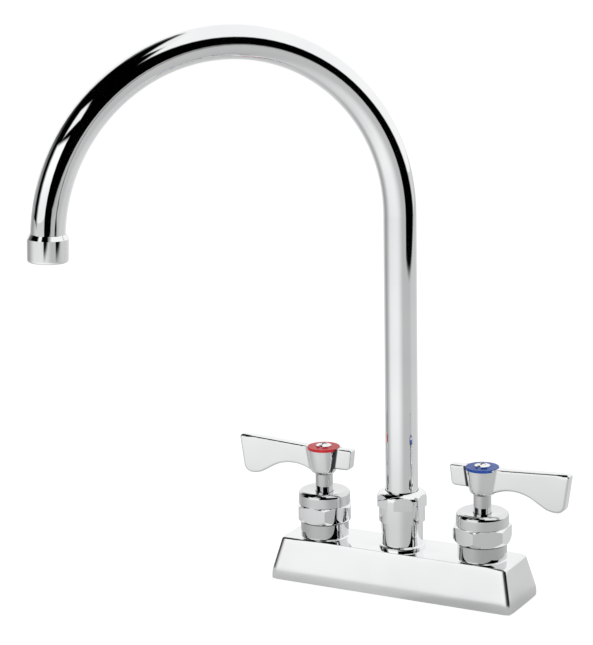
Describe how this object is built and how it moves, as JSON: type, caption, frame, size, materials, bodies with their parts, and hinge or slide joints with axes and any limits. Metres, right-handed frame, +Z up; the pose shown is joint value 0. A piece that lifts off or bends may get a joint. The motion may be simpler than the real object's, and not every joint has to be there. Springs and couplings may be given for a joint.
{
  "type": "deck-mount gooseneck faucet",
  "caption": "Chromed deck-mount mixing faucet with a hipped base, quarter-turn lever valves and a swivelling gooseneck spout.",
  "frame": {"origin": "on the spout's swivel axis, at the face that rests on the deck", "axes": "+Z up; the valves stand along X, hot on the -X side; -Y is the user's side"},
  "size_m": [0.2493, 0.1904, 0.3332],
  "materials": {
    "chrome": "polished",
    "brass": "machined",
    "ceramic": "lapped",
    "seal_rubber": "matte",
    "hot_index": "gloss",
    "cold_index": "gloss",
    "white_plastic": "moulded",
    "steel": "pressed"
  },
  "bodies": {
    "base": {"base_body": "chrome", "hot_seat_washer": "seal_rubber", "hot_fixed_disc": "ceramic", "hot_cartridge_body": "brass", "hot_cartridge_o_ring": "seal_rubber", "hot_bonnet_nut": "chrome", "hot_bonnet": "chrome", "cold_seat_washer": "seal_rubber", "cold_fixed_disc": "ceramic", "cold_cartridge_body": "brass", "cold_cartridge_o_ring": "seal_rubber", "cold_bonnet_nut": "chrome", "cold_bonnet": "chrome", "spout_nut": "chrome", "spout_bush": "white_plastic"},
    "hot_handle": {"hot_moving_disc": "ceramic", "hot_stem": "chrome", "hot_stem_o_rings": "seal_rubber", "hot_lever_handle": "chrome", "hot_index_ring": "hot_index", "hot_handle_screw": "chrome"},
    "cold_handle": {"cold_moving_disc": "ceramic", "cold_stem": "chrome", "cold_stem_o_rings": "seal_rubber", "cold_lever_handle": "chrome", "cold_index_ring": "cold_index", "cold_handle_screw": "chrome"},
    "spout": {"spout_tail": "brass", "spout_o_rings": "seal_rubber", "spout_tube": "chrome", "outlet_ferrule": "chrome", "outlet_washer": "seal_rubber", "outlet_screen": "steel", "aerator_body": "white_plastic"}
  },
  "joints": [
    {"name": "hot_handle_turn", "type": "hinge", "parent": "base", "child": "hot_handle", "pos_m": [-0.0508, 0, 0.07], "axis": [0, 0, 1], "range_deg": [0, 90]},
    {"name": "cold_handle_turn", "type": "hinge", "parent": "base", "child": "cold_handle", "pos_m": [0.0508, 0, 0.07], "axis": [0, 0, 1], "range_deg": [-90, 0]},
    {"name": "spout_swivel", "type": "hinge", "parent": "base", "child": "spout", "pos_m": [0, 0, 0.05], "axis": [0, 0, 1], "continuous": true}
  ]
}
